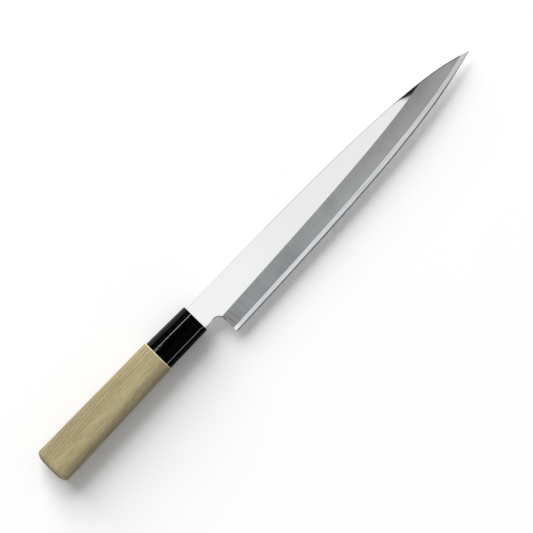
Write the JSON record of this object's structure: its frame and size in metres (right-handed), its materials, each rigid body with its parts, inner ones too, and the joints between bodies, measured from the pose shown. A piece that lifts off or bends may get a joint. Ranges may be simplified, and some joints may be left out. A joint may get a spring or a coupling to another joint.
{
  "type": "slicing knife",
  "caption": "Long narrow knife for slicing raw fish: a laminated blade with one wide bevel and a hollow back, set in a plain wooden handle with a black collar.",
  "frame": {"origin": "middle of the knife's bounding box, at the level of the handle's lowest point", "axes": "+X along the knife from the butt to the tip, +Y from the edge to the spine, +Z out of the bevelled face"},
  "size_m": [0.3914, 0.0384, 0.021],
  "materials": {
    "soft_iron": "satin, ground lengthwise",
    "hard_steel": "honed, brighter than the body",
    "black_collar": "polished",
    "resin": "dull",
    "wood": "sanded, bare"
  },
  "bodies": {
    "root": {"blade_body": "soft_iron", "edge_steel": "hard_steel", "ferrule": "black_collar", "tang_seal": "resin", "handle": "wood"}
  },
  "joints": []
}
